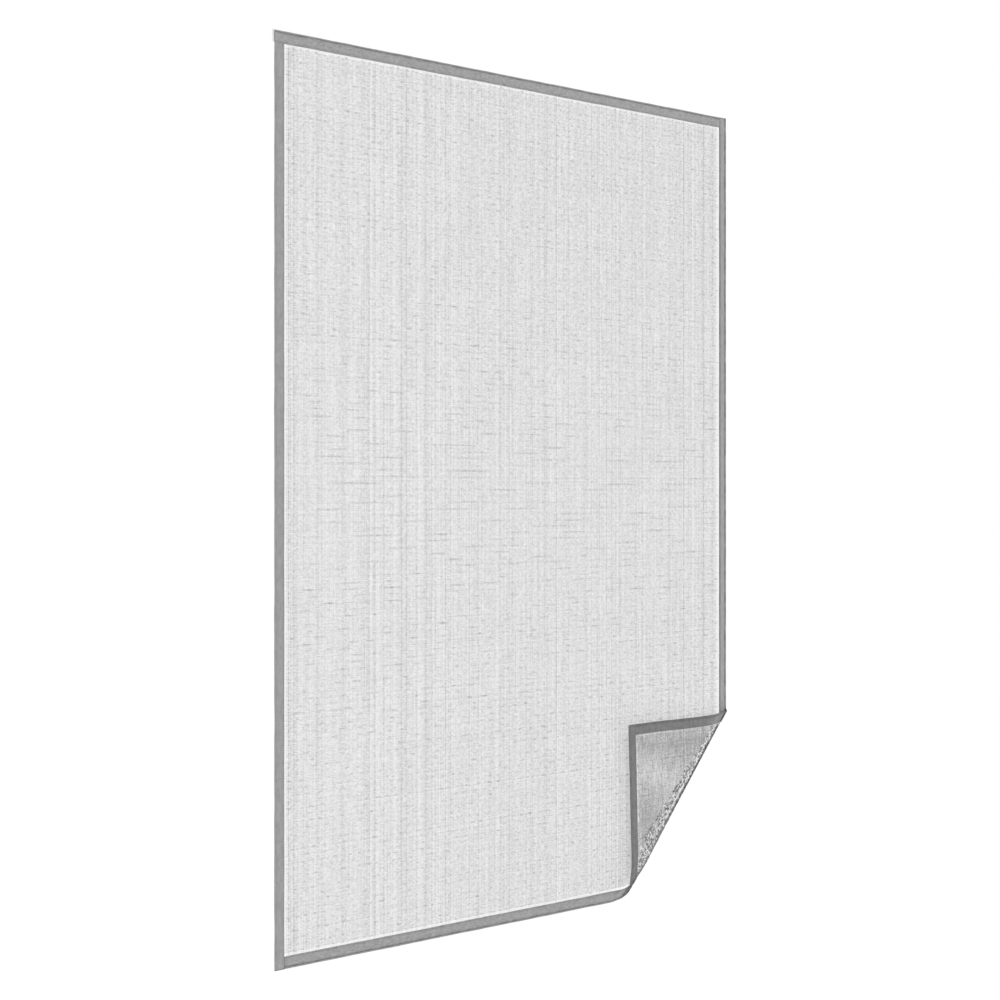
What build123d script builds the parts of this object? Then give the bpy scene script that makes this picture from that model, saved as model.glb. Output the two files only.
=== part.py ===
from build123d import *
import os
from math import atan2, cos, degrees, radians, sin

# Window insect screen: a woven net with tape sewn round its edge, and its lower right corner turned up
# towards the viewer. +X is to the right, +Z is up, and the front faces -Y. The origin is on the rear
# face of the top tape, in the middle of its width and length. Sizes are in millimetres and degrees.

# Outline of the sheet
width = 1200.0
height = 1500.0
tape_width = 20.0
top_tape_overhang = 3.0

# Thickness of each layer, from the window frame towards the viewer
rear_tape_thickness = 1.2
net_thickness = 0.4
front_tape_thickness = 0.8
thread_thickness = 0.3

# Seams
thread_width = 0.6
seam_inset = 2.5

# The turned corner: where its crease starts on the side and on the bottom edge, how tightly the sheet
# rolls at those two ends, and how far it turns over
fold_up_side = 340.0
fold_along_bottom = 354.0
side_roll_radius = 3.0
bottom_roll_radius = 12.3
turn_angle = 178.0
roll_steps = 12

# Weave: raised threads both ways, and small gaps left open between them
upright_pitch = 38.5
level_pitch = 40.5
ridge_width = 4.0
ridge_height = 0.6
ridge_stop = 4.0
gap_size = 12.0
gap_columns = 10
gap_rows = 12

# Edges of the sheet, seen from the front
right = width / 2
left = -right
top = tape_width / 2
bottom = top - height

# Depth of each layer's rear face, measured towards the viewer
net_depth = rear_tape_thickness
front_tape_depth = net_depth + net_thickness
thread_depth = front_tape_depth + front_tape_thickness
net_middle = net_depth + net_thickness / 2

# The roll is part of a cone whose tip lies on the line of the crease. In the sheet's own plane the
# crease is a ray from that tip, and each later ray turns a little further round the cone.
side_end = Vector(right, bottom + fold_up_side)
bottom_end = Vector(right - fold_along_bottom, bottom)
crease = (bottom_end - side_end).normalized()
cone_angle = degrees(atan2(bottom_roll_radius - side_roll_radius, (bottom_end - side_end).length))
tip = side_end - crease * (side_roll_radius / sin(radians(cone_angle)))
sheet_turn = turn_angle * sin(radians(cone_angle))
reach = width + height


def in_space(point, depth):
    """A point of the flat sheet, at a depth in front of the window frame."""
    return Vector(point.X, -depth, point.Y)


cone_tip = in_space(tip, net_middle)
crease_line = in_space(crease, 0)
to_front = Vector(0, -1, 0)
cone_axis = Axis((0, 0, 0), crease_line * cos(radians(cone_angle)) + to_front * sin(radians(cone_angle)))


def ray(angle):
    """Direction, in the flat sheet, of the ray from the cone's tip that lies this far past the crease."""
    return crease.rotate(Axis.Z, angle)


def past_ray(point, angle):
    """How far a point of the flat sheet lies past a ray, towards the corner."""
    return (point - tip).dot(ray(angle).rotate(Axis.Z, 90))


def turned_side(angle, margin):
    """Middle and slope of a large rectangle that covers the sheet from a ray to past the corner."""
    line = ray(angle)
    middle = tip + line.rotate(Axis.Z, 90) * (margin + reach / 2)
    return Location((middle.X, middle.Y, 0), (0, 0, degrees(atan2(line.Y, line.X))))


def span_on_ray(box, angle):
    """Distances from the cone's tip at which a ray enters and leaves a rectangle of the sheet."""
    box_left, box_right, box_bottom, box_top = box
    line = ray(angle)
    near = max((box_right - tip.X) / line.X, (box_top - tip.Y) / line.Y)
    far = min((box_left - tip.X) / line.X, (box_bottom - tip.Y) / line.Y)
    return near, far


def flat_plane(depth):
    """The unfolded part of the sheet, at a depth in front of the window frame."""
    return Plane(origin=(0, -depth, 0), x_dir=(1, 0, 0), z_dir=(0, -1, 0))


def turned(direction):
    """Where a direction of the flat sheet points once the corner is turned over."""
    return direction.rotate(Axis((0, 0, 0), to_front), -sheet_turn).rotate(cone_axis, turn_angle)


def flap_plane(depth):
    """The same plane as flat_plane, carried over with the turned corner."""
    origin = cone_tip + turned(Vector(0, -depth, 0) - cone_tip)
    return Plane(origin=origin, x_dir=turned(Vector(1, 0, 0)), z_dir=turned(to_front))


# The two flat parts of the sheet: the plane each lies in, the ray that bounds it, and how a rectangle
# over the turned side of that ray trims it
flat_part = (flat_plane, 0, Mode.SUBTRACT)
flap_part = (flap_plane, sheet_turn, Mode.INTERSECT)


def sheet_piece(box, depth, thickness, gaps=()):
    """One layer of the sheet over a rectangle, folded with the corner where the rectangle reaches it."""
    box_left, box_right, box_bottom, box_top = box
    middle = ((box_left + box_right) / 2, (box_bottom + box_top) / 2)
    size = (box_right - box_left, box_top - box_bottom)
    folded = past_ray(Vector(box_right, box_bottom), 0) > 0
    with BuildPart() as piece:
        for plane_at, angle, trim in (flat_part, flap_part) if folded else (flat_part,):
            with BuildSketch(plane_at(depth)):
                with Locations(middle):
                    Rectangle(*size)
                if gaps:
                    with Locations(*gaps):
                        Rectangle(gap_size, gap_size, mode=Mode.SUBTRACT)
                if folded:
                    with Locations(turned_side(angle, 0)):
                        Rectangle(2 * reach, reach, mode=trim)
            extrude(amount=thickness)
        if folded:
            for step in range(roll_steps + 1):
                share = step / roll_steps
                near, far = span_on_ray(box, sheet_turn * share)
                line = crease_line.rotate(cone_axis, turn_angle * share)
                outward = to_front.rotate(cone_axis, turn_angle * share)
                offset = depth + thickness / 2 - net_middle
                centre = cone_tip + line * ((near + far) / 2) + outward * offset
                with BuildSketch(Plane(origin=centre, x_dir=line, z_dir=line.cross(outward))):
                    Rectangle(far - near, thickness)
            loft(ruled=True)
    return piece.part


def ridges(places, length, breadth, depth):
    """Raised threads of the weave, all one way, on one face of the net. They stop short of the roll."""
    with BuildPart() as piece:
        for plane_at, angle, trim in (flat_part, flap_part):
            stop = -ridge_stop if trim == Mode.SUBTRACT else ridge_stop
            with BuildSketch(plane_at(depth)):
                with Locations(*places):
                    Rectangle(breadth, length)
                with Locations(turned_side(angle, stop)):
                    Rectangle(2 * reach, reach, mode=trim)
            extrude(amount=ridge_height)
    return piece.part


# Rectangle of the sheet that each tape covers. Each tape starts at one corner and ends against the next.
top_tape_box = (left - top_tape_overhang, right - tape_width, top - tape_width, top)
right_tape_box = (right - tape_width, right, bottom + tape_width, top)
bottom_tape_box = (left + tape_width, right, bottom, bottom + tape_width)
left_tape_box = (left, left + tape_width, bottom, top - tape_width)
tape_boxes = {"top": top_tape_box, "right": right_tape_box, "bottom": bottom_tape_box, "left": left_tape_box}


def seam_box(box, side, inset):
    """Rectangle of one row of thread on a tape, a distance inside the tape's edge on the given side."""
    box_left, box_right, box_bottom, box_top = box
    half = thread_width / 2
    if side == "top":
        return (box_left, box_right, box_top - inset - half, box_top - inset + half)
    if side == "bottom":
        return (box_left, box_right, box_bottom + inset - half, box_bottom + inset + half)
    if side == "right":
        return (box_right - inset - half, box_right - inset + half, box_bottom, box_top)
    return (box_left + inset - half, box_left + inset + half, box_bottom, box_top)


opposite = {"top": "bottom", "bottom": "top", "left": "right", "right": "left"}
pieces = {}
for side, box in tape_boxes.items():
    pieces[f"{side}_rear_tape"] = sheet_piece(box, 0, rear_tape_thickness)
    pieces[f"{side}_front_tape"] = sheet_piece(box, front_tape_depth, front_tape_thickness)
    outer_box = seam_box(box, side, seam_inset)
    inner_box = seam_box(box, opposite[side], seam_inset)
    pieces[f"{side}_outer_seam"] = sheet_piece(outer_box, thread_depth, thread_thickness)
    pieces[f"{side}_inner_seam"] = sheet_piece(inner_box, thread_depth, thread_thickness)

# The weave fills the open net between the tapes
open_width = width - 2 * tape_width
open_height = height - 2 * tape_width
open_left = left + tape_width
open_bottom = bottom + tape_width
cells_across = round(open_width / upright_pitch)
cells_up = round(open_height / level_pitch)
cell_width = open_width / cells_across
cell_height = open_height / cells_up
open_middle = open_left + open_width / 2
open_mid_height = open_bottom + open_height / 2
upright_places = [(open_left + i * cell_width, open_mid_height) for i in range(1, cells_across)]
level_places = [(open_middle, open_bottom + i * cell_height) for i in range(1, cells_up)]


def gap_places():
    """Middles of evenly spread cells of the weave, all clear of the roll."""
    for column in range(gap_columns):
        for row in range(gap_rows):
            across = int((column + 0.5) * cells_across / gap_columns) + 0.5
            up = int((row + 0.5) * cells_up / gap_rows) + 0.5
            spot = Vector(open_left + across * cell_width, open_bottom + up * cell_height)
            clear = gap_size + ridge_stop
            if past_ray(spot, 0) < -clear or past_ray(spot, sheet_turn) > clear:
                yield (spot.X, spot.Y)


plain_net = sheet_piece((left, right, bottom, top), net_depth, net_thickness, tuple(gap_places()))
upright_ridges = ridges(upright_places, open_height, ridge_width, front_tape_depth)
level_ridges = ridges(level_places, ridge_width, open_width, net_depth - ridge_height)
with BuildPart() as insect_net:
    add(plain_net)
    add(upright_ridges)
    add(level_ridges)
pieces["insect_net"] = insect_net.part

os.makedirs("parts", exist_ok=True)
for name, piece in pieces.items():
    piece.label = name
    export_step(piece, f"parts/{name}.step")
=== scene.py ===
import math
import bpy
import numpy as np
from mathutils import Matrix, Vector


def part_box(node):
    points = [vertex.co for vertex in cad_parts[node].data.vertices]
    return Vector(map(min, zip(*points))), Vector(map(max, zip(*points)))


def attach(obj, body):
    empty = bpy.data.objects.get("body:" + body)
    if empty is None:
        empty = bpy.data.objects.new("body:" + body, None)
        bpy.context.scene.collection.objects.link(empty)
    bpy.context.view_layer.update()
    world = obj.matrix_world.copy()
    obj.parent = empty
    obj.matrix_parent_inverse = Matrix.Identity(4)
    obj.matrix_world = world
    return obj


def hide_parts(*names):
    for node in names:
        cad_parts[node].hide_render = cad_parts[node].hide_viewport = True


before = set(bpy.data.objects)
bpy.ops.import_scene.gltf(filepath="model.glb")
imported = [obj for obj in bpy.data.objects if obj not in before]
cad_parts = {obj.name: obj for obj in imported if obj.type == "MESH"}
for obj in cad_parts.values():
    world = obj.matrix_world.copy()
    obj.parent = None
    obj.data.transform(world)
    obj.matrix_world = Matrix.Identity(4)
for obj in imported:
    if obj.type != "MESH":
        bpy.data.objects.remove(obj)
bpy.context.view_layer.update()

# Everything is in metres. The sheet is described flat first, by x to the right, z upwards and depth
# towards the viewer from the rear face of the tapes. The function place folds its corner over.
MM = 0.001

# Layers of the sheet and the width of its tape, as in the frame
rear_low, rear_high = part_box("top_rear_tape")
front_low, front_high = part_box("top_front_tape")
TAPE = rear_high[2] - rear_low[2]
REAR_TAPE = rear_high[1] - rear_low[1]
FRONT_FACE = -front_low[1]
NET_THICKNESS = -front_high[1] - REAR_TAPE
NET_MIDDLE = REAR_TAPE + NET_THICKNESS / 2
FRONT_DEPTH = REAR_TAPE + NET_THICKNESS
FRONT_TAPE = FRONT_FACE - FRONT_DEPTH

# Outline of the sheet, and how far left its top tape reaches
LEFT, _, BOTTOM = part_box("left_rear_tape")[0]
RIGHT = -LEFT
TOP = TAPE / 2
TOP_TAPE_LEFT = front_low[0]

# Rectangle of the sheet that each tape covers: left, right, bottom, top
BOXES = {
    "top": (LEFT, RIGHT - TAPE, TOP - TAPE, TOP),
    "right": (RIGHT - TAPE, RIGHT, BOTTOM + TAPE, TOP),
    "bottom": (LEFT + TAPE, RIGHT, BOTTOM, BOTTOM + TAPE),
    "left": (LEFT, LEFT + TAPE, BOTTOM, TOP - TAPE),
}

# The turned corner: where its crease starts on the side and on the bottom edge, how tightly the sheet
# rolls at those two ends, how far it turns over, and the turn at which the roll is seen edge on
FOLD_UP_SIDE = 0.340
FOLD_ALONG_BOTTOM = 0.354
SIDE_ROLL = 0.0030
BOTTOM_ROLL = 0.0123
TURN = math.radians(178)
EDGE_TURN = math.radians(128.5)

# How the soft corner settles. Its upper border sags, and it is drawn up and to the right. This starts a
# little past the crease and grows over a short way
SAG = 0.0065
SAG_REACH = 0.30
DRAWN_UP = 0.0024
DRAWN_RIGHT = 0.0040
DRAWN_RIGHT_REACH = 0.19
SETTLE_FROM = 0.008
SETTLE_OVER = 0.035
SETTLE_REACH = 0.16

# How far the roll is pinched in where it ends at the lower hem, and how far up that reaches. It grows
# and fades past the crease, each time from a start and over a length
END_PINCH = 0.0074
END_PINCH_UP = 0.055
PINCH_GROWS = (-0.003, 0.030)
PINCH_FADES = (0.036, 0.03)

# Height of the crumples beside the crease and of the slow wave of the turned corner, the middle and
# width of the crumpled band, and where the wave starts and over what length it grows
CRUMPLE_HEIGHT = 0.00055
WAVE_HEIGHT = 0.0011
CRUMPLE_BAND = (0.020, 0.018)
WAVE_GROWS = (0.03, 0.08)

# Net threads
PITCH_ACROSS = 0.00105
PITCH_UP = 0.00140
UNEVEN = 0.20
THREAD_WIDTH = 0.00030
THREAD_DEPTH = 0.00016
NET_MARGIN = 0.0012
TONE_SPREAD = 0.06

# Strips beside the tapes where threads are drawn out, and the part of each that has none
OPEN_AT_LEFT = 0.0034
OPEN_AT_RIGHT = 0.0130
OPEN_AT_ENDS = 0.0046
BARE = 0.0040

# How finely net threads are divided where they roll and crumple at the crease, and beyond it
ROLL_STEPS = 10
CRUMPLE_REACH = 0.036
CRUMPLE_STEPS = 5
FLAP_STEP = 0.030

# Slow changes of the thickness of uprights across the sheet: size, seed and pitch of each
UPRIGHT_WAVES = ((0.16, 3, 0.0165), (0.08, 5, 0.031), (0.19, 8, 0.0068))

# Heavier and lighter uprights: distance from the left edge, and change of thickness
STREAK_WIDTH = 0.0017
UPRIGHT_STREAKS = (
    (0.030, 1.3), (0.041, 0.9), (0.209, 1.3), (0.224, 1.2), (0.288, 1.6), (0.299, 1.2), (0.347, 0.5),
    (0.397, 0.9), (0.478, 1.1), (0.535, 0.9), (0.562, 0.5), (0.685, 1.2), (1.040, 0.6), (1.065, 0.9),
    (1.128, 1.6), (1.156, 1.3), (0.025, -0.4), (0.178, -0.7), (0.217, -0.6), (0.233, -0.9),
    (0.257, -0.7), (0.272, -0.5), (0.331, -0.5), (0.380, -0.5), (0.527, -0.7), (0.579, -0.5),
    (1.094, -0.5), (1.108, -0.4), (1.166, -0.6), (1.174, -0.8),
)

# Slubs, the thick places in the level threads. Their rows are evenly spaced from a first one above the
# bottom tape, and the slubs in a row are short near the top and bottom of the sheet and long at its
# mid-height. Pairs of numbers are limits, and SLUB_CLEAR bounds the stretch past the crease that has none
SLUB_ROWS = 0.0109
FIRST_ROW = 0.006
MID_HEIGHT = -0.735
SLUB_SPREAD = 0.0125
SLUB_PITCH = (0.012, 0.22)
SLUB_SHARE = (0.3, 0.62)
SLUB_LENGTH = (0.0045, 0.13)
SLUB_HALF = (0.00018, 0.00034)
SLUB_TONE = (0.50, 0.82)
SLUBS_SEEN = 0.80
SLUB_MARGIN = 0.004
LAST_SLUB = 0.006
SHORTEST_SLUB = 0.003
SLUB_DEPTH = NET_MIDDLE - 0.00010
SLUB_CLEAR = (-0.004, 0.036)

# The painted shade line on the crease's visible edge, which stands in for the shadow of the roll: its
# width, the length over which it fades inwards, how broken it is, and how much weaker it gets, from which
# share of the crease and over which
DARK_WIDTH = 0.0038
DARK_FADE = 0.0024
DARK_BROKEN = 0.23
DARK_LOSS = 0.35
DARK_LOSS_GROWS = (0.45, 0.3)
DARK_BEHIND = -0.020
DARKEST = 0.93

# Painted light and shade of the net beside the crease, by its inset from the visible edge: the middle and
# width of a painted highlight line and of the painted shade of a ripple, how strong each is, and the band
# of painted light and shade of the crumpled cloth, which widens towards the hem
BRIGHT_LINE = (0.0096, 0.0024)
RIPPLE_LINE = (0.0160, 0.0030)
BRIGHTER = 0.9
RIPPLE = 0.22
CRUMPLE_SHADING_BAND = 0.010
CRUMPLE_SHADING_GROWTH = 0.026
CRUMPLE_SHADING_FROM = -0.004

# How much thicker threads are in the painted shade line, and thinner in the painted highlight line
THICKER = 1.7
THINNER = 0.45

# Painted shade of the turned corner, as its tone, how far past the crease it starts, and its soft patches
# of painted shade and light: place in the flat sheet, radius and change of tone
CORNER_TONE = 0.95
CORNER_FROM = 0.012
SOFT_PATCHES = (
    (0.563, -1.430, 0.048, -0.34), (0.560, -1.350, 0.050, -0.38), (0.556, -1.262, 0.050, -0.36),
    (0.506, -1.394, 0.040, 0.26), (0.484, -1.336, 0.040, 0.14), (0.440, -1.446, 0.050, -0.28),
    (0.380, -1.436, 0.040, -0.20), (0.513, -1.438, 0.024, 0.36),
)

# Painted shade and highlight at the crease, as spindles of thread. Rows of dashes along the edge, a dark
# one of painted shade and a pale one of painted highlight: inset, limits of length, longest gap, half width
# and the share of the crease it ends at. Dark ones get paler in the lower part, from a share of the crease
# and over another
SHADING_MARK_DEPTH = NET_MIDDLE - 0.00045
DARK_DASHES = (0.0036, (0.006, 0.012), 0.0030, 0.00270, 1.00)
PALE_DASHES = (0.0098, (0.007, 0.016), 0.0050, 0.00290, 0.62)
DASH_TONE = (0.07, 0.26)
PALE_DASH_TONE = 1.6
LOWER_PART = (0.40, 0.2)
LOWER_PALER = 0.28
LOWER_MISSING = 0.30

# Loose spots of painted light and shade of the crumpled cloth beside the edge, dark and pale by turns:
# their number, inset and reach, which grows towards the hem, half length, half width and tone
SPECKS = 620
SPECK_INSET = 0.0055
SPECK_REACH = 0.006
SPECK_REACH_GROWTH = 0.038
SPECK_LEAN = 0.7
SPECK_HALF_LENGTH = (0.0022, 0.0040)
SPECK_HALF = (0.0015, 0.0026)
SPECK_TONE = (0.25, 0.65)
PALE_SPECK_TONE = 1.45

# Painted highlight just inside the corner's tapes, as pale threads: whether they are level, inset from
# the tape, half width and tone. They run between two distances from the sheet's corner, at a pitch
HIGHLIGHT_THREADS = ((True, 0.0046, 0.0023, 1.6), (False, 0.0024, 0.0011, 1.4))
HIGHLIGHT_FROM = 0.034
HIGHLIGHT_TO = 0.180
HIGHLIGHT_PITCH = 0.015
HIGHLIGHT_LENGTH = (0.010, 0.022)

# Half a section of a tape: place across it, from its middle to its edge, and how high its face stands
HALF_SECTION = (
    (0.0, 1.0), (0.1, 1.0), (0.22, 0.99), (0.34, 1.0), (0.46, 1.0), (0.58, 0.98), (0.68, 0.93),
    (0.75, 0.80), (0.81, 0.93), (0.87, 1.02), (0.93, 1.08), (0.97, 1.04), (0.99, 0.88), (1.0, 0.55),
)
SECTION = [(-s, h) for s, h in reversed(HALF_SECTION[1:])] + list(HALF_SECTION)
ACROSS = np.array([s for s, _ in SECTION])
HEIGHT = np.array([h for _, h in SECTION])

# Tapes: distance between their stations, and that at the roll, waviness of their outline and surface,
# and how far the edges of the flat face are chamfered, as a share of the thickness
TAPE_STEP = 0.006
TAPE_ROLL_STEP = 0.0008
TAPE_WAVE = 0.00018
TAPE_SWELL = 0.04 * MM
CHAMFER = 0.2

# Tone of each front tape, how much darker its outer and inner edge is, how far from its middle the dark
# outer line starts, as a share of its half width, and how much paler its middle line is
TAPE_LOOKS = {
    "top": {"tone": 0.985, "outer": 0.50, "inner": 0.06, "dark_from": 0.40, "middle": 0.0},
    "right": {"tone": 0.98, "outer": 0.52, "inner": 0.28, "dark_from": 0.30, "middle": 0.0},
    "bottom": {"tone": 0.955, "outer": 0.54, "inner": 0.12, "dark_from": 0.40, "middle": 0.0},
    "left": {"tone": 0.945, "outer": -0.09, "inner": -0.07, "dark_from": 0.62, "middle": 0.02},
}
REAR_EDGES = {"tone": 1, "outer": 0.26, "inner": 0.10}

# Shading across a tape, from 0 at its middle to 1 at its edge, each from a start and over a length. The
# outer dark line has two steps with their shares, and on the level tapes a paler rim outside it. The
# seams are given by middle and width, and the dark cut end is in metres
OUTER_STEPS = ((0.35, 0.0, 0.14), (0.65, 0.18, 0.08))
RIM = (0.73, 0.08)
RIM_PALER = 0.90
INNER_LINE = (0.76, 0.12)
SEAM_LINE = (0.75, 0.05)
SEAM_DARKER = 0.07
CUT_END = (0.0012, 0.0008)
CUT_END_DARKER = 0.40

# Paler strip of the right loop tape beside the crease: middle and width by inset, and change of tone
PALE_STRIP = (0.016, 0.014)
PALE_STRIP_TONE = 0.45

# Sewing
SEAM_INSET = 0.0025
STITCH_PITCH = 0.0032
STITCH_LENGTH = 0.0027
STITCH_RADIUS = 0.00024
STITCH_DRIFT = 0.00012
SEAM_DIP = 0.20

# Loose yarns at the left end of the top tape: number, reach past the tape, shortest share of that
# reach, and radius
YARNS = 46
YARN_PAST = 0.0034
YARN_SHORTEST = 0.75
YARN_RADIUS = 0.00013

# The layers of tape: word in the name of the scene's piece, depth of the rear and front face, and seed
LAYERS = {"front": ("woven", FRONT_DEPTH, FRONT_FACE, 40), "rear": ("loop", 0.0, REAR_TAPE, 60)}

# Other seeds, so that every run draws the same numbers
PLACE_SEEDS = {True: 11, False: 12}
TONE_SEEDS = {True: 14, False: 12}
SLUB_SEED = 31
CREASE_SEED = 51
YARN_SEED = 21
STITCH_SEED = 80

# Grey levels of the materials, as linear light
NET_LEVEL = 0.583
FRONT_TAPE_LEVEL = 0.355
REAR_TAPE_LEVEL = 0.18
THREAD_LEVEL = 0.26

# Camera
CAMERA_AT = (-3.1351, -2.7701, -0.7287)
CAMERA_YAW = -47.96
CAMERA_LENS = 84.46
CAMERA_SHIFT_DOWN = 0.00685

# Floor, surroundings and lamps: name, strength, softness in degrees, and direction in degrees
FLOOR_Z = -2.40
FLOOR_SIZE = 14.0
FLOOR_GREY = 0.80
FLOOR_GLOW = 1.17
FLOOR_GLOW_SHARE = 0.65
SURROUND = 0.62
LAMPS = (("key", 1.15, 25, (52, 0, -38)), ("fill", 0.40, 60, (70, 0, -45)))


class Fold:
    """The cone that the corner rolls round, with its tip on the line of the crease."""

    side_end = np.array([RIGHT, BOTTOM + FOLD_UP_SIDE])
    bottom_end = np.array([RIGHT - FOLD_ALONG_BOTTOM, BOTTOM])
    length = float(np.linalg.norm(bottom_end - side_end))
    crease = (bottom_end - side_end) / length
    across = np.array([-crease[1], crease[0]])
    cone = math.atan2(BOTTOM_ROLL - SIDE_ROLL, length)
    tip = side_end - crease * (SIDE_ROLL / math.sin(cone))
    sheet_turn = TURN * math.sin(cone)


def ramp(value, start, length):
    """Rise smoothly from nought at a start to one, a length further on."""
    share = np.clip((value - start) / length, 0, 1)
    return share * share * (3 - 2 * share)


def hump(value, middle, width):
    """A smooth hump of height one round a middle."""
    return np.exp(-(((value - middle) / width) ** 2))


def rotated(vector, axis, angle):
    """A vector turned about a unit axis by each of several angles."""
    angle = np.atleast_1d(angle)[:, None]
    along = axis * np.dot(axis, vector)
    return along + (vector - along) * np.cos(angle) + np.cross(axis, vector) * np.sin(angle)


def fold_polar(x, z):
    """Distances along and past the crease from the cone's tip, and the same as a radius and an angle."""
    arm = np.stack([x - Fold.tip[0], z - Fold.tip[1]], axis=1)
    along, past = arm @ Fold.crease, arm @ Fold.across
    return along, past, np.hypot(along, past), np.arctan2(past, along)


def crease_inset(x, z):
    """How far inside the crease's visible edge a point shows, in the turned sheet's own plane."""
    x, z = (np.asarray(v, float).ravel() for v in np.broadcast_arrays(x, z))
    _, _, reach, angle = fold_polar(x, z)
    roll = np.maximum(reach * math.sin(Fold.cone), MM)
    past_edge = reach * angle - EDGE_TURN * roll
    flat_from = (TURN - EDGE_TURN) * roll
    curved = roll * (1 - np.cos(np.clip(past_edge / roll, -math.pi, math.pi)))
    beyond = roll * (1 - math.cos(TURN - EDGE_TURN)) + past_edge - flat_from
    return np.where(past_edge > flat_from, beyond, curved), past_edge


def crease_share(x, z):
    """How far along the crease a point of the flat sheet lies, from 0 at the side to 1 at the hem."""
    along, _, _, _ = fold_polar(x, z)
    return np.clip((along - SIDE_ROLL / math.sin(Fold.cone)) / Fold.length, 0, 1)


def crease_spot(share, inset):
    """The point of the flat sheet that shows this far along the crease and inside its visible edge."""
    reach = SIDE_ROLL / math.sin(Fold.cone) + share * Fold.length
    roll = reach * math.sin(Fold.cone)
    bulge = roll * (1 - math.cos(TURN - EDGE_TURN))
    if inset < bulge:
        past_edge = roll * math.acos(1 - inset / roll)
    else:
        past_edge = (TURN - EDGE_TURN) * roll + inset - bulge
    angle = (EDGE_TURN * roll + past_edge) / reach
    return Fold.tip + reach * (Fold.crease * math.cos(angle) + Fold.across * math.sin(angle))


def painted_crease_shade(x, z):
    """Painted shade of the crease: up to one on its visible edge, fading to nothing a few millimetres
    inside it.
    """
    inset, past_edge = crease_inset(x, z)
    broken = 1 - DARK_BROKEN + DARK_BROKEN * np.sin(x * 620 + 1.5 * np.sin(z * 190))
    strength = broken * (1 - DARK_LOSS * ramp(crease_share(x, z), *DARK_LOSS_GROWS))
    return strength * (1 - ramp(inset, DARK_WIDTH, DARK_FADE)) * (past_edge > DARK_BEHIND)


def end_pinch(z, past):
    """How far the roll is drawn in at the lower hem, square to the crease."""
    near_hem = 1 - ramp(z - BOTTOM, 0, END_PINCH_UP)
    return END_PINCH * near_hem * (ramp(past, *PINCH_GROWS) * (1 - ramp(past, *PINCH_FADES)))


def settle(x, z, past):
    """How far the soft turned corner lies to the right of and above its ideal place."""
    up_side, along_bottom = z - BOTTOM, RIGHT - x
    clear = ramp(past, SETTLE_FROM, SETTLE_OVER)
    near_side = 1 - ramp(along_bottom, 0, SETTLE_REACH)
    near_bottom = 1 - ramp(up_side, 0, SETTLE_REACH)
    rise = near_side * (DRAWN_UP - SAG * ramp(up_side, 0, SAG_REACH))
    return DRAWN_RIGHT * clear * near_bottom * ramp(along_bottom, 0, DRAWN_RIGHT_REACH), rise * clear


def crumple(x, z, past):
    """How far the soft cloth stands off its ideal surface. Past is the distance beyond the crease, and
    the waves are given in radians a metre."""
    along = (x - Fold.side_end[0]) * Fold.crease[0] + (z - Fold.side_end[1]) * Fold.crease[1]
    room = np.clip(along / Fold.length, 0.0, 1.0)
    small = np.sin(along * 410 + 2.1 * np.sin(past * 260)) * np.sin(past * 340 + 1.7 * np.sin(along * 150))
    wave = np.sin(along * 31 + 0.6) * np.sin(past * 17 + along * 9)
    crumples = CRUMPLE_HEIGHT * hump(past, *CRUMPLE_BAND) * small
    return room * (crumples + WAVE_HEIGHT * ramp(past, *WAVE_GROWS) * wave)


def place(x, z, depth):
    """Where points of the flat sheet lie once its corner is turned over, as rows of x, y and z."""
    x, z, depth = (np.asarray(v, float).ravel() for v in np.broadcast_arrays(x, z, depth))
    crease_3d = np.array([Fold.crease[0], 0, Fold.crease[1]])
    across_3d = np.array([Fold.across[0], 0, Fold.across[1]])
    front = np.array([0.0, -1.0, 0.0])
    axis = crease_3d * math.cos(Fold.cone) + front * math.sin(Fold.cone)
    start = np.array([Fold.tip[0], -NET_MIDDLE, Fold.tip[1]])
    _, past, radius, angle = fold_polar(x, z)
    depth = depth + crumple(x, z, past)
    points = np.stack([x, -depth, z], axis=1)
    rolled = (angle > 0) & (angle <= Fold.sheet_turn)
    turn = angle[rolled] / math.sin(Fold.cone)
    points[rolled] = (
        start
        + rotated(crease_3d, axis, turn) * radius[rolled, None]
        + rotated(front, axis, turn) * (depth[rolled, None] - NET_MIDDLE)
    )
    over = angle > Fold.sheet_turn
    rest = angle[over] - Fold.sheet_turn
    points[over] = (
        start
        + rotated(crease_3d, axis, TURN) * (radius[over] * np.cos(rest))[:, None]
        + rotated(across_3d, axis, TURN) * (radius[over] * np.sin(rest))[:, None]
        + rotated(front, axis, TURN) * (depth[over, None] - NET_MIDDLE)
    )
    right, rise = settle(x, z, past)
    pinch = end_pinch(z, past)
    points[:, 0] += right - pinch * Fold.across[0]
    points[:, 2] += rise - pinch * Fold.across[1]
    return points


def flat_xz(upright, along, sideways):
    """Flat x and z of places that are given along and across an upright or a level piece."""
    return (sideways, along) if upright else (along, sideways)


def wander(t, seed, pitch=0.11):
    """A slow, smooth, repeatable wobble of about one unit along a distance t."""
    phase = np.random.default_rng(seed).uniform(0, math.tau, 4)
    waves = [math.tau / pitch / k for k in (3.1, 1.7, 1.0, 0.61)]
    return sum(np.sin(t * w + p) for w, p in zip(waves, phase)) / 2


def add_piece(name, node, points, faces, material, shade=None, crumple_shading=None, smooth=True):
    """Make one mesh piece that stands for a node of the frame."""
    mesh = bpy.data.meshes.new(name)
    mesh.from_pydata(points.tolist(), [], faces)
    mesh.polygons.foreach_set("use_smooth", [smooth] * len(mesh.polygons))
    for key, values in (("shade", shade), ("crumple_shading", crumple_shading)):
        if values is not None:
            mesh.attributes.new(key, "FLOAT", "POINT").data.foreach_set("value", values.astype(np.float32))
    mesh.update()
    piece = bpy.data.objects.new(name, mesh)
    bpy.context.scene.collection.objects.link(piece)
    mesh.materials.append(material)
    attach(piece, "root")
    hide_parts(node)
    return piece


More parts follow.
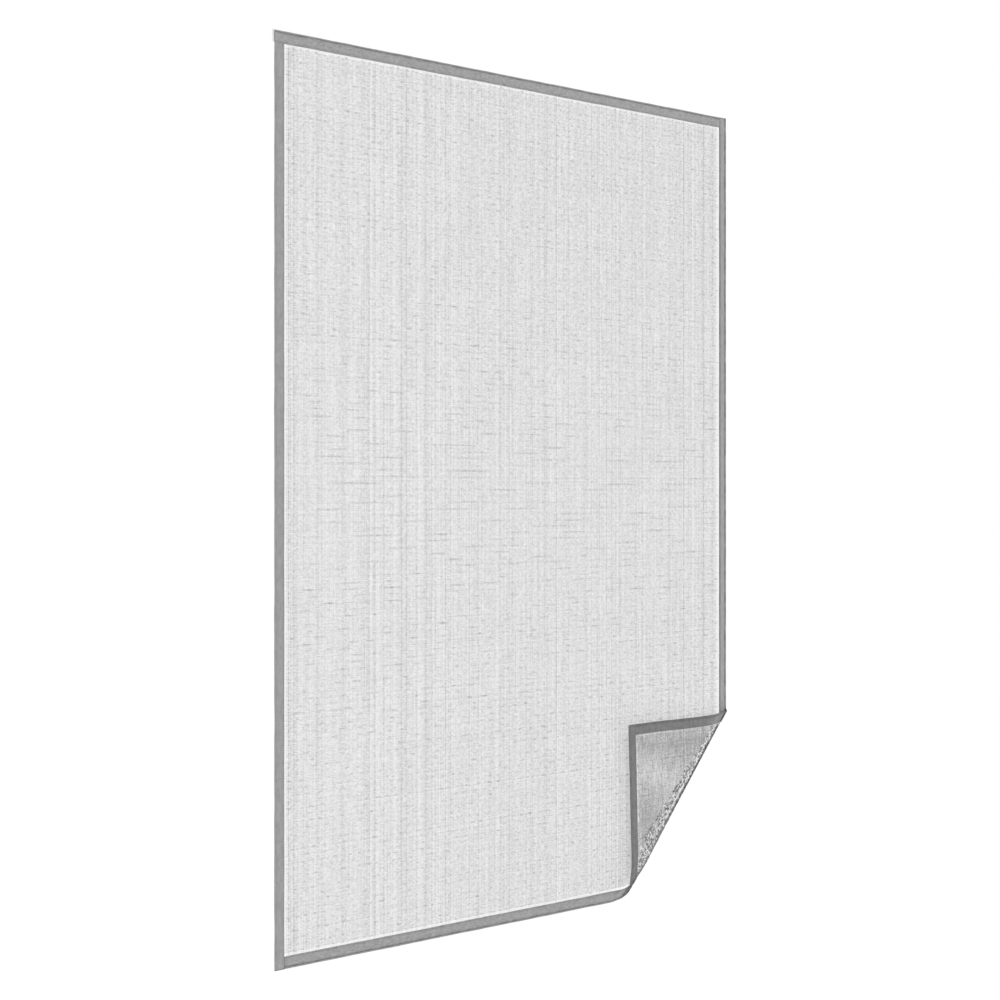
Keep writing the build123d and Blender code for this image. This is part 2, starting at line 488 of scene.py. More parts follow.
def bar_faces(first, rings, sides):
    """Faces of a closed bar whose rings of points follow each other from a first point."""
    faces = []
    for ring in range(rings - 1):
        base = first + ring * sides
        for k in range(sides):
            after = (k + 1) % sides
            faces.append((base + k, base + after, base + sides + after, base + sides + k))
    last = first + (rings - 1) * sides
    faces.append(tuple(range(first + sides - 1, first - 1, -1)))
    faces.append(tuple(range(last, last + sides)))
    return faces


def node_tree(name, roughness, sheen=0.0):
    """An empty fabric material and its shader."""
    material = bpy.data.materials.new(name)
    material.use_nodes = True
    shader = material.node_tree.nodes["Principled BSDF"]
    shader.inputs["Roughness"].default_value = roughness
    shader.inputs["Specular IOR Level"].default_value = 0.25
    shader.inputs["Sheen Weight"].default_value = sheen
    shader.inputs["Sheen Roughness"].default_value = 0.5
    return material, material.node_tree, shader


def add_node(tree, kind, **settings):
    """Add one node and set its named properties and inputs."""
    node = tree.nodes.new(kind)
    for key, value in settings.items():
        if key in node.inputs:
            node.inputs[key].default_value = value
        else:
            setattr(node, key, value)
    return node


def link(tree, source, target):
    """Join an output of one node to an input of another."""
    tree.links.new(source, target)


def stretched(tree, scale):
    """Object coordinates with their own scale on each axis."""
    place_node = add_node(tree, "ShaderNodeTexCoord")
    mapping = add_node(tree, "ShaderNodeMapping", Scale=scale)
    link(tree, place_node.outputs["Object"], mapping.inputs["Vector"])
    return mapping.outputs["Vector"]


def noise(tree, vector, scale, detail=2.0):
    """Soft noise over a vector, from nought to one."""
    node = add_node(tree, "ShaderNodeTexNoise", Scale=scale, Detail=detail)
    link(tree, vector, node.inputs["Vector"])
    return node.outputs["Fac"]


def math_node(tree, operation, one, two):
    """A maths node on two sockets or numbers."""
    node = add_node(tree, "ShaderNodeMath", operation=operation)
    for index, value in enumerate((one, two)):
        if isinstance(value, (int, float)):
            node.inputs[index].default_value = value
        else:
            link(tree, value, node.inputs[index])
    return node.outputs[0]


def times(tree, one, two):
    """The product of two sockets or numbers."""
    return math_node(tree, "MULTIPLY", one, two)


def remap(tree, value, low, high, middle=(0.3, 0.7)):
    """Stretch the middle part of a noise, such as from 0.3 to 0.7, to low and high."""
    node = add_node(tree, "ShaderNodeMapRange")
    for key, number in zip(("From Min", "From Max", "To Min", "To Max"), (*middle, low, high)):
        node.inputs[key].default_value = number
    link(tree, value, node.inputs["Value"])
    return node.outputs["Result"]


def grey(tree, shader, level, factor):
    """Set the base colour to a grey level times a varying factor, never quite white."""
    value = math_node(tree, "MINIMUM", times(tree, factor, level), 0.93)
    colour = add_node(tree, "ShaderNodeCombineColor")
    for channel in ("Red", "Green", "Blue"):
        link(tree, value, colour.inputs[channel])
    link(tree, colour.outputs["Color"], shader.inputs["Base Color"])


def bumped(tree, shader, height, strength, distance):
    """Let a height raise the surface by up to a distance."""
    bump = add_node(tree, "ShaderNodeBump", Strength=strength, Distance=distance)
    link(tree, height, bump.inputs["Height"])
    link(tree, bump.outputs["Normal"], shader.inputs["Normal"])


def attribute(tree, name):
    """A value that the mesh holds at its points."""
    return add_node(tree, "ShaderNodeAttribute", attribute_name=name).outputs["Fac"]


def net_material():
    """Pale grey polyester thread with fine mottling, and strong painted light and shade where the cloth is
    crumpled.
    """
    material, tree, shader = node_tree("net_thread", 0.62, 0.1)
    vector = stretched(tree, (1, 1, 1))
    speckle = remap(tree, noise(tree, stretched(tree, (150, 150, 420)), 1, 1), 0.71, 1.29)
    uprights = remap(tree, noise(tree, stretched(tree, (300, 300, 9)), 1, 1), 0.9, 1.1)
    # Painted light and shade of the crumpled cloth beside the crease
    strong = remap(tree, noise(tree, vector, 290, 1), -0.88, 0.62, (0.40, 0.60))
    crumpled = times(tree, strong, attribute(tree, "crumple_shading"))
    crumple_shadings = math_node(tree, "ADD", crumpled, 1.0)
    factor = times(tree, speckle, times(tree, uprights, crumple_shadings))
    grey(tree, shader, NET_LEVEL, times(tree, factor, attribute(tree, "shade")))
    return material


def weave_height(tree, pitch):
    """Height of a plain weave: a check of small crowns along both ways of the cloth."""
    turns = math.tau / pitch
    coordinates = add_node(tree, "ShaderNodeTexCoord")
    split = add_node(tree, "ShaderNodeSeparateXYZ")
    link(tree, coordinates.outputs["Object"], split.inputs["Vector"])
    across = math_node(tree, "SINE", times(tree, split.outputs["X"], turns), 0)
    up = math_node(tree, "SINE", times(tree, split.outputs["Z"], turns), 0)
    return times(tree, across, up)


def front_tape_material(name, grain, uneven):
    """Grey woven tape: a fine plain weave, with uneven yarns that run along the tape."""
    material, tree, shader = node_tree(name, 0.78, 0.15)
    weave = weave_height(tree, 1.1 * MM)
    yarns = remap(tree, noise(tree, stretched(tree, grain), 1, 2), 1 - uneven, 1 + uneven)
    cloudy = remap(tree, noise(tree, stretched(tree, (1, 1, 1)), 120, 2), 0.93, 1.07)
    crowns = math_node(tree, "ADD", times(tree, weave, 0.10), 1.0)
    factor = times(tree, times(tree, yarns, cloudy), crowns)
    grey(tree, shader, FRONT_TAPE_LEVEL, times(tree, factor, attribute(tree, "shade")))
    bumped(tree, shader, weave, 0.5, 0.15 * MM)
    return material


def rear_tape_material():
    """Darker loop tape: a soft, felted pile."""
    material, tree, shader = node_tree("rear_tape_loops", 0.95, 0.25)
    vector = stretched(tree, (1, 1, 1))
    pile = noise(tree, vector, 900, 3)
    matted = remap(tree, noise(tree, vector, 120, 2), 0.84, 1.16)
    factor = times(tree, remap(tree, pile, 0.8, 1.2), matted)
    grey(tree, shader, REAR_TAPE_LEVEL, times(tree, factor, attribute(tree, "shade")))
    bumped(tree, shader, pile, 0.8, 0.4 * MM)
    return material


def thread_material():
    """Spun sewing thread, a little darker than the tape it is sunk in."""
    material, tree, shader = node_tree("sewing_thread", 0.7, 0.1)
    twist = noise(tree, stretched(tree, (1, 1, 1)), 1600, 1)
    grey(tree, shader, THREAD_LEVEL, remap(tree, twist, 0.8, 1.2))
    bumped(tree, shader, twist, 0.4, 0.1 * MM)
    return material


def ray_meets(angle, upright, value):
    """Where a ray from the cone's tip crosses an upright or a level line of the flat sheet."""
    line = Fold.crease * math.cos(angle) + Fold.across * math.sin(angle)
    if upright:
        return Fold.tip[1] + line[1] * (value - Fold.tip[0]) / line[0]
    return Fold.tip[0] + line[0] * (value - Fold.tip[1]) / line[1]


def thread_stations(start, end, upright, fixed):
    """Places along one net thread, closer together where it crumples and rolls at the crease."""
    into = ray_meets(0, upright, fixed)
    out = ray_meets(Fold.sheet_turn, upright, fixed)
    turning = np.sign(end - start)
    if (into - start) * turning < 0 or (end - into) * turning < 0:
        return np.array([start, end])
    if (end - out) * turning <= 0:
        out = end
    roll = np.linspace(into, out, ROLL_STEPS + 1)
    before = into - turning * CRUMPLE_REACH * 0.5 * np.array([1.0, 0.5])
    stations = [[start], before[(before - start) * turning > 0], roll]
    after = out + turning * CRUMPLE_REACH * np.arange(1, CRUMPLE_STEPS + 1) / CRUMPLE_STEPS
    after = after[(end - after) * turning > MM]
    stations.append(after)
    last = after[-1] if len(after) else out
    count = int(abs(end - last) / FLAP_STEP)
    stations.append(np.linspace(last, end, count + 2)[1:] if abs(end - last) > 0.01 * MM else [])
    return np.concatenate([np.asarray(s, float) for s in stations])


def upright_thickness(x):
    """Relative thickness of upright threads: soft, uneven stripes and a few stronger single ones."""
    value = 1
    for size, seed, pitch in UPRIGHT_WAVES:
        value = value + size * wander(x, seed, pitch)
    for distance, change in UPRIGHT_STREAKS:
        value = value + change * hump(x - LEFT, distance, STREAK_WIDTH)
    return np.maximum(value, 0.15)


def level_thickness(z):
    """Relative thickness of level threads: a little uneven, and heavier in the rows of slubs."""
    rows = np.cos((z - BOTTOM - TAPE - FIRST_ROW) * math.tau / SLUB_ROWS)
    return 1 + 0.08 * wander(z, 9, 0.02) + 0.12 * rows


def drawn_out(inner, strip):
    """Whether threads this far inside a tape are missing, because the cloth there is drawn open."""
    two_of_three = np.arange(len(inner)) % 3 > 0
    return (inner > 0) & (inner < strip) & ((inner < BARE) | two_of_three)


def thread_places(upright):
    """Where the upright or the level threads lie: a little unevenly, as in loosely woven cloth."""
    if upright:
        low, high, pitch, open_low, open_high = LEFT, RIGHT, PITCH_ACROSS, OPEN_AT_LEFT, OPEN_AT_RIGHT
    else:
        low, high, pitch, open_low, open_high = BOTTOM, TOP, PITCH_UP, OPEN_AT_ENDS, OPEN_AT_ENDS
    first, last = low + NET_MARGIN, high - NET_MARGIN
    count = int((last - first) / pitch)
    places = first + (np.arange(count) + 0.5) * (last - first) / count
    places = places + UNEVEN * pitch * np.random.default_rng(PLACE_SEEDS[upright]).standard_normal(count)
    places = places[~drawn_out(places - low - TAPE, open_low)]
    return places[~drawn_out(high - TAPE - places, open_high)]


def thread_ends(upright, number, folded):
    """Where a thread starts and ends. Every third one starts and ends short of the tapes, and of those
    that reach the turned corner two of three end short there."""
    first, last = (TOP, BOTTOM) if upright else (LEFT, RIGHT)
    inwards = np.sign(last - first)
    short = TAPE + (OPEN_AT_ENDS if upright else OPEN_AT_LEFT)
    start = first + inwards * (short if number % 3 == 0 else NET_MARGIN)
    return start, last - inwards * (short if number % 3 <= folded else NET_MARGIN)


def net_tones(x, z):
    """Painted shade, painted highlight and painted crumple shading of the net along the crease and over the
    turned corner.
    """
    _, past, _, _ = fold_polar(x, z)
    inset, past_edge = crease_inset(x, z)
    dark = painted_crease_shade(x, z)
    share = crease_share(x, z)
    # Painted light and shade beside the crease: the crumpled band, a highlight line and the shade of a
    # ripple
    band = CRUMPLE_SHADING_BAND + CRUMPLE_SHADING_GROWTH * share
    crumple_shading = (1 - ramp(inset, 0.6 * band, 0.7 * band)) * (past_edge > CRUMPLE_SHADING_FROM) * (1 - dark)
    bright = hump(inset, *BRIGHT_LINE) * (past_edge > 0) * (1 - 0.5 * share)
    ripple = RIPPLE * hump(inset, *RIPPLE_LINE) * (past_edge > 0)
    # Painted shade of the turned corner, with soft patches of painted light and shade
    corner_shading = CORNER_TONE
    for patch_x, patch_z, radius, change in SOFT_PATCHES:
        corner_shading = corner_shading + change * np.exp(-((x - patch_x) ** 2 + (z - patch_z) ** 2) / radius ** 2)
    corner_shading = np.where(past > CORNER_FROM, corner_shading, 1)
    tone = corner_shading * (1 - DARKEST * dark) * (1 + BRIGHTER * bright - ripple)
    return tone, crumple_shading * (1 - 0.8 * bright), dark, bright


# Corners of a square, and spokes of a round bar: to the side, and up or towards the viewer
CORNERS = ((-1, -1), (1, -1), (1, 1), (-1, 1))
SPOKES = ((1, 0), (0, 1), (-1, 0), (0, -1))


def net_thread(upright, value, ends, thick, tone):
    """Points of one thread as a thin bar, with the tone and painted shade of each point, and its painted
    crumple shading.
    """
    middle = NET_MIDDLE + (1 if upright else -1) * THREAD_DEPTH / 2
    stations = thread_stations(*ends, upright, value)
    shade, crumple_shading, dark, bright = net_tones(*flat_xz(upright, stations, np.full(len(stations), value)))
    half_width = THREAD_WIDTH * thick / 2 * (1 + THICKER * dark) * (1 - THINNER * bright)
    along = np.repeat(stations, len(CORNERS))
    sideways = np.stack([value + a * half_width for a, _ in CORNERS], axis=1).ravel()
    depth = np.tile([middle + b * THREAD_DEPTH / 2 for _, b in CORNERS], len(stations))
    points = place(*flat_xz(upright, along, sideways), depth)
    return points, np.repeat(tone * shade, len(CORNERS)), np.repeat(crumple_shading, len(CORNERS))


def make_net(material):
    """The woven net: uprights in front of level threads, each one a thin closed bar."""
    threads = []
    faces = []
    total = 0
    for upright in (True, False):
        places = thread_places(upright)
        thickness = upright_thickness(places) if upright else level_thickness(places)
        draw = np.random.default_rng(TONE_SEEDS[upright])
        tones = 1 + TONE_SPREAD * draw.standard_normal(len(places))
        folded = places > RIGHT - FOLD_ALONG_BOTTOM if upright else places < BOTTOM + FOLD_UP_SIDE
        for number, value in enumerate(places):
            ends = thread_ends(upright, number, folded[number])
            threads.append(net_thread(upright, value, ends, thickness[number], tones[number]))
            size = len(threads[-1][0])
            faces.extend(bar_faces(total, size // len(CORNERS), len(CORNERS)))
            total += size
    points, shades, crumple_shadings = (np.concatenate(v) for v in zip(*threads))
    # Flat faces, because smooth ones would lean towards a thread's ends and shade it unevenly
    return add_piece("woven_net", "insect_net", points, faces, material, shades, crumple_shadings, False)


# Rings of a spindle of thread, by place along it and thickness, and half its depth
RINGS = ((0.0, 0.3), (0.5, 1.0), (1.0, 0.3))
SPINDLE_HALF_DEPTH = 0.00012


def spindle(begin, stop, half, deep):
    """Points of a small closed spindle that lies in the sheet between two points of it."""
    begin, stop = np.array(begin, float), np.array(stop, float)
    run = stop - begin
    side = np.array([-run[1], run[0]]) / np.linalg.norm(run)
    flat = [begin + share * run + a * half * fat * side for share, fat in RINGS for a, _ in SPOKES]
    depth = [deep + b * SPINDLE_HALF_DEPTH * fat for _, fat in RINGS for _, b in SPOKES]
    return place(*np.array(flat).T, depth)


def spindles_piece(name, spindles, material):
    """Join spindles, each given with its tone, into one mesh piece."""
    size = len(RINGS) * len(SPOKES)
    faces = []
    for number in range(len(spindles)):
        faces.extend(bar_faces(number * size, len(RINGS), len(SPOKES)))
    points = np.concatenate([points for points, _ in spindles])
    tones = np.repeat([tone for _, tone in spindles], size)
    return add_piece(name, "insect_net", points, faces, material, tones, np.zeros(len(points)))


def row_of_slubs(draw, row, strong):
    """The slubs of one row, each one a pair of spindles that lie in the threads above and below it."""
    spindles = []
    pitch = np.clip(SLUB_SPREAD / max(abs(row - MID_HEIGHT), 0.02), *SLUB_PITCH)
    at = LEFT + TAPE + SLUB_MARGIN + draw.uniform(0, 1) * pitch
    while at < RIGHT - TAPE - LAST_SLUB:
        length = np.clip(pitch * draw.uniform(*SLUB_SHARE), *SLUB_LENGTH)
        begin = at + draw.normal(0, 0.12) * pitch
        stop = min(begin + length, RIGHT - TAPE - SLUB_MARGIN)
        at += pitch
        z = row + draw.normal(0, 0.4 * MM)
        half = draw.uniform(*SLUB_HALF) * strong
        tone = draw.uniform(*SLUB_TONE)
        seen = draw.uniform() < SLUBS_SEEN
        _, past, _, angle = fold_polar(np.array([begin, stop]), np.array([z, z]))
        before, after = (past < SLUB_CLEAR[0]).all(), (past > SLUB_CLEAR[1]).all()
        flat = before or (angle > Fold.sheet_turn).all() and after
        if seen and flat and min(begin - LEFT - TAPE, stop - begin) >= SHORTEST_SLUB:
            for level in (z - 0.5 * PITCH_UP, z + 0.5 * PITCH_UP):
                spindles.append((spindle((begin, level), (stop, level), half, SLUB_DEPTH), tone))
    return spindles


def make_slubs(material):
    """Thick places in the level threads, stronger in every second row."""
    draw = np.random.default_rng(SLUB_SEED)
    spindles = []
    rows = np.arange(BOTTOM + TAPE + FIRST_ROW, TOP - TAPE - SLUB_MARGIN, SLUB_ROWS)
    for number, row in enumerate(rows):
        spindles += row_of_slubs(draw, row, 1.15 if number % 2 else 0.85)
    return spindles_piece("net_slubs", spindles, material)


def shading_mark(begin, stop, half, tone):
    """One spindle of thread behind the net that carries painted shade or highlight, or none where it would
    reach a tape or leave the turned corner. It comes as a list."""
    inside = all(p[0] < RIGHT - TAPE - MM and p[1] > BOTTOM + TAPE + MM for p in (begin, stop))
    if inside and begin[0] > RIGHT - FOLD_ALONG_BOTTOM:
        return [(spindle(begin, stop, half, SHADING_MARK_DEPTH), tone)]
    return []


def edge_dashes(draw, dashes, pale):
    """One row of dashes along the crease: painted shade on its visible edge, or painted highlight beside
    it.
    """
    inset, lengths, longest_gap, half, last = dashes
    spindles = []
    at = 2 * MM
    while at < Fold.length * last:
        length = draw.uniform(*lengths)
        lower = ramp(at / Fold.length, *LOWER_PART)
        tone = PALE_DASH_TONE if pale else draw.uniform(*DASH_TONE) + LOWER_PALER * lower
        ends = [crease_spot((at + step) / Fold.length, inset + draw.normal(0, 0.4 * MM))
                for step in (0, length)]
        if draw.uniform() > LOWER_MISSING * lower:
            spindles += shading_mark(ends[0], ends[1], half * draw.uniform(0.8, 1.15), tone)
        at += length + draw.uniform(0.0004, longest_gap)
    return spindles


def edge_specks(draw):
    """Loose spots of painted light and shade beside the crease, denser towards the hem and towards the
    edge.
    """
    spindles = []
    for number in range(SPECKS):
        share = draw.uniform(0.0, 1.0) ** 0.55
        reach = SPECK_REACH + SPECK_REACH_GROWTH * share
        centre = crease_spot(share, SPECK_INSET + reach * draw.uniform() ** 1.2)
        turn = math.atan2(Fold.crease[1], Fold.crease[0]) + draw.normal(0, SPECK_LEAN)
        step = draw.uniform(*SPECK_HALF_LENGTH) * np.array([math.cos(turn), math.sin(turn)])
        tone = draw.uniform(*SPECK_TONE) if number % 2 else PALE_SPECK_TONE
        spindles += shading_mark(centre - step, centre + step, draw.uniform(*SPECK_HALF), tone)
    return spindles


def highlight_threads(draw):
    """Painted highlight as pale threads just inside the two tapes of the turned corner."""
    spindles = []
    for level, inset, half, tone in HIGHLIGHT_THREADS:
        at = HIGHLIGHT_FROM
        while at < HIGHLIGHT_TO:
            ends = [(RIGHT - a, BOTTOM + TAPE + inset) if level else (RIGHT - TAPE - inset, BOTTOM + a)
                    for a in (at, at + draw.uniform(*HIGHLIGHT_LENGTH))]
            spindles += shading_mark(ends[0], ends[1], half, tone)
            at += HIGHLIGHT_PITCH
    return spindles


def make_crease_shading_marks(material):
    """Painted shade and highlight where the net is creased, and painted highlight threads inside the
    corner's tapes.
    """
    draw = np.random.default_rng(CREASE_SEED)
    spindles = edge_dashes(draw, DARK_DASHES, False) + edge_dashes(draw, PALE_DASHES, True)
    spindles += edge_specks(draw) + highlight_threads(draw)
    return spindles_piece("crease_shading_marks", spindles, material)


def tape_stations(box, upright):
    """Places along a tape, a few millimetres apart, and closer where it rolls at the crease."""
    start, end = (box[2], box[3]) if upright else (box[0], box[1])
    near_end = np.array([0.0010, 0.0021])
    middle = np.linspace(start + 4 * MM, end - 4 * MM, int((end - start) / TAPE_STEP) + 1)
    stations = np.concatenate([[start], start + near_end, middle, end - near_end[::-1], [end]])
    sides = (box[0], box[1]) if upright else (box[2], box[3])
    if (box[1] - Fold.tip[0]) * Fold.across[0] + (box[2] - Fold.tip[1]) * Fold.across[1] > 0:
        crossings = [ray_meets(a, upright, s) for a in (0, Fold.sheet_turn) for s in sides]
        low, high = max(min(crossings) - 2 * MM, start), min(max(crossings) + 2 * MM, end)
        fine = np.linspace(low, high, int((high - low) / TAPE_ROLL_STEP) + 2)
        stations = np.concatenate([stations[stations < low - MM], fine, stations[stations > high + MM]])
    return stations


def tape_surface(layer, stations, seed):
    """Depth of the outer and the inner face of a tape at each station and each place of its section.
    The ribbed face of a front tape looks towards the viewer, and that of a rear tape away."""
    _, rear_depth, front_depth, _ = LAYERS[layer]
    thickness = front_depth - rear_depth
    swell = TAPE_SWELL * np.stack([wander(stations + s * 0.013, seed + 2, 0.016) for s in ACROSS], axis=1)
    chamfer = CHAMFER * thickness * (np.abs(ACROSS) > 0.995)[None, :]
    if layer == "front":
        outer = rear_depth + thickness * HEIGHT[None, :] + swell
        return outer, np.full_like(outer, rear_depth) + chamfer
    outer = np.full_like(swell, front_depth) - chamfer
    return outer, front_depth - thickness * HEIGHT[None, :] + np.abs(swell)


def tape_faces(rings):
    """Faces of a closed strip of rings, each of which runs across the tape's outer face and back."""
    count = len(SECTION)
    ring = 2 * count
    faces = []
    for row in range(rings - 1):
        base = row * ring
        for k in range(ring):
            after = (k + 1) % ring
            faces.append((base + k, base + ring + k, base + ring + after, base + after))
    last = (rings - 1) * ring
    for k in range(count - 1):
        faces.append((k, k + 1, ring - 2 - k, ring - 1 - k))
        faces.append((last + k + 1, last + k, last + ring - 1 - k, last + ring - 2 - k))
    return faces


def tape_tones(side, layer, stations, seed):
    """Tone of a tape at each station and each place of its section."""
    looks = TAPE_LOOKS[side]
    edges = looks if layer == "front" else REAR_EDGES
    left, right, bottom, top = BOXES[side]
    upright = side in ("left", "right")
    outward = ACROSS if side in ("top", "right") else -ACROSS
    dark_from = looks["dark_from"]
    steps = [share * ramp(outward, dark_from + start, length) for share, start, length in OUTER_STEPS]
    outer_edge = edges["outer"] * sum(steps)
    if not upright:
        outer_edge = outer_edge * (1 - RIM_PALER * ramp(outward, *RIM))
    inner_edge = edges["inner"] * ramp(-outward, *INNER_LINE)
    # Above the top tape's inner edge, an upright tape lies beside level ones and has no dark inner edge
    open_inside = (stations < TOP - TAPE) | (not upright)
    uneven = 1 + 0.35 * wander(stations, seed + 5, 0.024)
    edge = (outer_edge[None, :] + inner_edge[None, :] * open_inside[:, None]) * uneven[:, None]
    seam_dark = 1 - SEAM_DARKER * hump(np.abs(ACROSS), *SEAM_LINE)
    crown = 1 + 0.05 * (1 - ACROSS ** 2) + looks["middle"] * hump(ACROSS, 0.08, 0.09)
    from_end = {"top": right - stations, "right": top - stations,
                "bottom": stations - left, "left": stations - bottom}
    end_dark = 1 - CUT_END_DARKER * (1 - ramp(from_end[side], *CUT_END))
    return edges["tone"] * np.maximum(1 - edge, 0.2) * (seam_dark * crown)[None, :] * end_dark[:, None]


def make_tape(side, layer, material, index):
    """One tape as a closed strip, with ribbed edges, dips along its seams and a slightly wavy outline."""
    box = BOXES[side]
    upright = side in ("left", "right")
    word, _, _, first_seed = LAYERS[layer]
    seed = first_seed + index
    stations = tape_stations(box, upright)
    sides = (box[0], box[1]) if upright else (box[2], box[3])
    middle, half = sum(sides) / 2, (sides[1] - sides[0]) / 2
    edge_wave = TAPE_WAVE * np.stack([wander(stations, seed), wander(stations, seed + 1)], axis=1)
    lean = (ACROSS[None, :] + 1) / 2
    offset = edge_wave[:, :1] * (1 - lean) + edge_wave[:, 1:] * lean
    sideways = middle + ACROSS[None, :] * (half - 0.0001) + offset
    outer, inner = tape_surface(layer, stations, seed)
    ring = 2 * len(SECTION)
    along = np.repeat(stations, ring)
    ring_side = np.concatenate([sideways, sideways[:, ::-1]], axis=1).ravel()
    ring_depth = np.concatenate([outer, inner[:, ::-1]], axis=1).ravel()
    x, z = flat_xz(upright, along, ring_side)
    points = place(x, z, ring_depth)
    tone = tape_tones(side, layer, stations, seed)
    # Painted shade of the crease on the tape, as on the net
    shade = np.concatenate([tone, tone[:, ::-1]], axis=1).ravel() * (1 - 0.9 * painted_crease_shade(x, z))
    if side == "right" and layer == "rear":
        inset, past_edge = crease_inset(x, z)
        shade = shade * (1 + PALE_STRIP_TONE * hump(inset, *PALE_STRIP) * (past_edge > 0))
    faces = tape_faces(len(stations))
    if not upright == (points[ring, 2] < points[0, 2]):
        faces = [f[::-1] for f in faces]
    name, slot = f"{side}_{word}_tape", f"{layer}_tape"
    piece = add_piece(name, f"{side}_{slot}", points, faces, material, shade)
    return piece, (stations[-1] - stations[0], 2 * half)


def seam_line(side, row):
    """The line of one row of stitches: its fixed coordinate, and where it starts and ends."""
    left, right, bottom, top = BOXES[side]
    inset = TAPE - SEAM_INSET if row == "inner" else SEAM_INSET
    lines = {"top": (top - inset, left, right), "bottom": (bottom + inset, left, right),
             "right": (right - inset, bottom, top), "left": (left + inset, bottom, top)}
    return lines[side]


# Rings of a stitch: place along it, thickness, and how deep it is sunk
STITCH_RINGS = ((0.0, 0.3, 0.00022), (0.22, 1.0, 0.00002), (0.78, 1.0, 0.00002), (1.0, 0.3, 0.00022))


def make_stitches(side, row, material, index):
    """One row of stitches, on the front and on the rear of the tapes, each one sunk at its two ends."""
    fixed, start, end = seam_line(side, row)
    count = int((end - start) / STITCH_PITCH)
    begin = start + (np.arange(count) + 0.15) * (end - start) / count
    drift = STITCH_DRIFT * np.random.default_rng(STITCH_SEED + index).standard_normal(count)
    points = []
    faces = []
    total = 0
    for surface, outward in ((FRONT_FACE - SEAM_DIP * FRONT_TAPE, 1), (SEAM_DIP * REAR_TAPE, -1)):
        along, across, depth = [], [], []
        for share, fat, sunk in STITCH_RINGS:
            for spoke_side, spoke_out in SPOKES:
                along.append(begin + share * STITCH_LENGTH)
                across.append(fixed + drift * (0.5 - share) + spoke_side * STITCH_RADIUS * fat)
                lift = STITCH_RADIUS * 0.7 - sunk + spoke_out * STITCH_RADIUS * fat
                depth.append(np.full(count, surface + outward * lift))
        along, across, depth = (np.stack(v, axis=1).ravel() for v in (along, across, depth))
        points.append(place(*flat_xz(side in ("left", "right"), along, across), depth))
        for _ in range(count):
            faces.extend(bar_faces(total, len(STITCH_RINGS), len(SPOKES)))
            total += len(STITCH_RINGS) * len(SPOKES)
    name, node = f"{side}_{row}_stitches", f"{side}_{row}_seam"
    return add_piece(name, node, np.concatenate(points), faces, material)


def make_frayed_end(material):
    """Loose yarn ends at the left end of the top tape, where it was cut a little past the edge."""
    draw = np.random.default_rng(YARN_SEED)
    reach = LEFT - TOP_TAPE_LEFT + YARN_PAST
    steps = np.linspace(0, 1, 4)
    points = []
    faces = []
    total = 0
    for z in np.linspace(TOP - TAPE + 0.6 * MM, TOP - 0.6 * MM, YARNS):
        long = reach * draw.uniform(YARN_SHORTEST, 1.0)
        x = LEFT + MM - steps * (long + MM)
        sway = draw.normal(0, 0.3 * MM) * steps ** 2
        level = FRONT_DEPTH + 0.3 * MM + draw.uniform(-0.15, 0.25) * MM
        for step in range(len(steps)):
            half = YARN_RADIUS * (1 - 0.4 * steps[step])
            for a, b in SPOKES:
                points.append((x[step], -(level + b * half), z + sway[step] + a * half))
        faces.extend(bar_faces(total, len(steps), len(SPOKES)))
        total += len(SPOKES) * len(steps)
    points = np.array(points)
    shade = np.ones(len(points))
    return add_piece("top_tape_frayed_end", "top_front_tape", points, faces, material, shade)


def seen_ray(tree):
    """One for what is seen directly, or mirrored in or through the object, and nothing for its light."""
    path = add_node(tree, "ShaderNodeLightPath")
    through = math_node(tree, "MAXIMUM", path.outputs["Is Glossy Ray"], path.outputs["Is Transmission Ray"])
    return math_node(tree, "MAXIMUM", path.outputs["Is Camera Ray"], through)


def make_floor():
    """A pale floor well below the hanging screen, which looks white and keeps a soft shadow."""
    mesh = bpy.data.meshes.new("floor")
    corners = [(x * FLOOR_SIZE, y * FLOOR_SIZE, FLOOR_Z) for x, y in CORNERS]
    mesh.from_pydata(corners, [], [(0, 1, 2, 3)])
    floor = bpy.data.objects.new("floor", mesh)
    bpy.context.scene.collection.objects.link(floor)
    material = bpy.data.materials.new("pale_floor")
    material.use_nodes = True
    tree = material.node_tree
    shader = tree.nodes["Principled BSDF"]
    shader.inputs["Base Color"].default_value = (FLOOR_GREY, FLOOR_GREY, FLOOR_GREY, 1)
    shader.inputs["Roughness"].default_value = 0.9
    shader.inputs["Specular IOR Level"].default_value = 0.0
    glow = add_node(tree, "ShaderNodeEmission", Strength=FLOOR_GLOW)
    choose = add_node(tree, "ShaderNodeMixShader")
    link(tree, times(tree, seen_ray(tree), FLOOR_GLOW_SHARE), choose.inputs[0])
    link(tree, shader.outputs[0], choose.inputs[1])
    link(tree, glow.outputs[0], choose.inputs[2])
    link(tree, choose.outputs[0], tree.nodes["Material Output"].inputs["Surface"])
    mesh.materials.append(material)


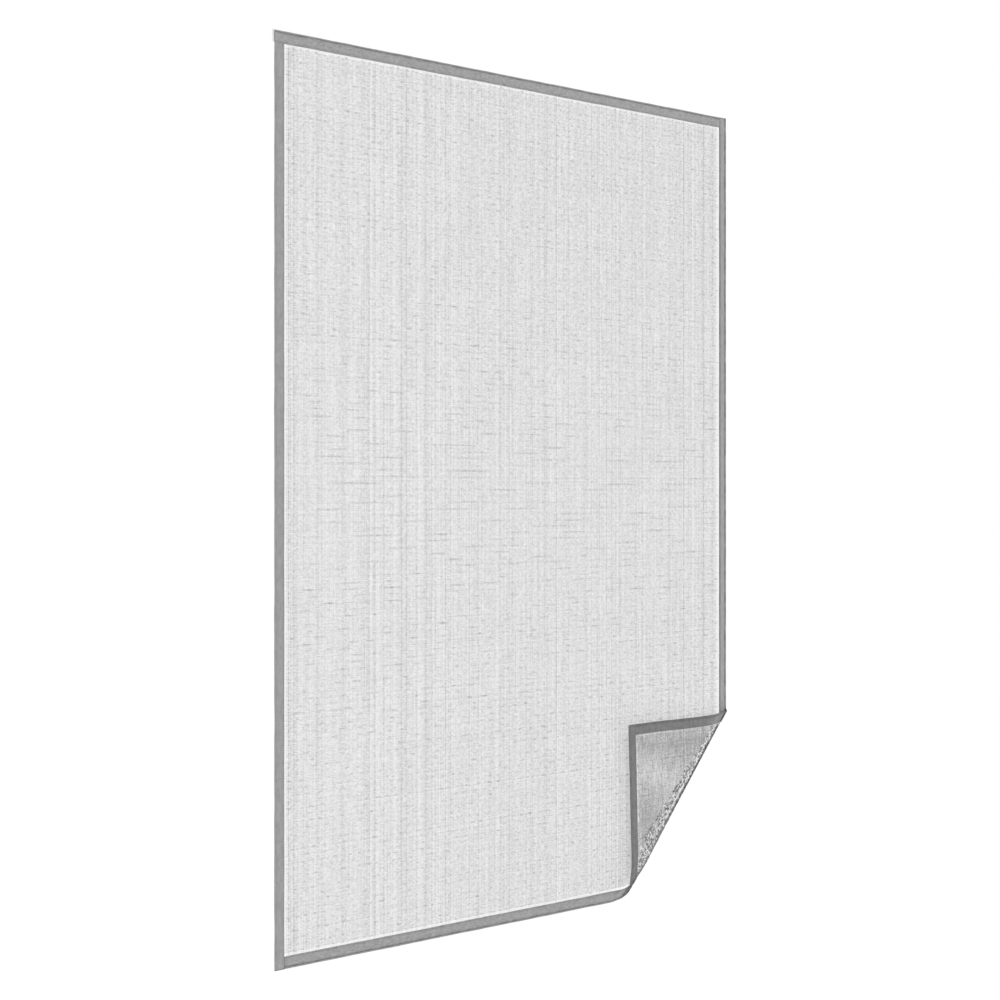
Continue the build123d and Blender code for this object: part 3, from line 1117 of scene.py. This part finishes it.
def make_surroundings():
    """Even light from all round, in front of what looks like a white background."""
    world = bpy.data.worlds.new("studio")
    bpy.context.scene.world = world
    world.use_nodes = True
    tree = world.node_tree
    surround = tree.nodes["Background"]
    surround.inputs["Strength"].default_value = SURROUND
    backdrop = add_node(tree, "ShaderNodeBackground", Strength=1.0)
    for background in (surround, backdrop):
        background.inputs["Color"].default_value = (1, 1, 1, 1)
    choose = add_node(tree, "ShaderNodeMixShader")
    link(tree, seen_ray(tree), choose.inputs[0])
    link(tree, surround.outputs[0], choose.inputs[1])
    link(tree, backdrop.outputs[0], choose.inputs[2])
    link(tree, choose.outputs[0], tree.nodes["World Output"].inputs["Surface"])


def make_lamps():
    """Soft lamps from the front and the left."""
    for name, energy, soft, turn in LAMPS:
        light = bpy.data.lights.new(name, "SUN")
        light.energy = energy
        light.angle = math.radians(soft)
        lamp = bpy.data.objects.new(name, light)
        lamp.rotation_euler = [math.radians(a) for a in turn]
        bpy.context.scene.collection.objects.link(lamp)


def make_camera():
    """The photograph's view: level, from the left, at half the screen's height."""
    data = bpy.data.cameras.new("camera")
    data.lens = CAMERA_LENS
    data.sensor_width = 36
    data.sensor_fit = "HORIZONTAL"
    data.shift_y = -CAMERA_SHIFT_DOWN
    data.clip_end = 100
    camera = bpy.data.objects.new("camera", data)
    camera.location = CAMERA_AT
    camera.rotation_euler = (math.radians(90), 0, math.radians(CAMERA_YAW))
    bpy.context.scene.collection.objects.link(camera)
    bpy.context.scene.camera = camera
    bpy.context.scene.view_settings.view_transform = "Standard"


make_camera()
make_floor()
make_surroundings()
make_lamps()
level_cloth = front_tape_material("front_tape_level", (170, 170, 640), 0.20)
upright_cloth = front_tape_material("front_tape_upright", (640, 640, 70), 0.09)
rear_cloth = rear_tape_material()
sewing = thread_material()
net_cloth = net_material()
net = make_net(net_cloth)
trim = [make_slubs(net_cloth), make_crease_shading_marks(net_cloth)]
for index, side in enumerate(BOXES):
    front_cloth = level_cloth if side in ("top", "bottom") else upright_cloth
    for layer, cloth in (("front", front_cloth), ("rear", rear_cloth)):
        tape, size = make_tape(side, layer, cloth, index)
    for row in ("outer", "inner"):
        trim.append(make_stitches(side, row, sewing, index))
frayed = make_frayed_end(level_cloth)
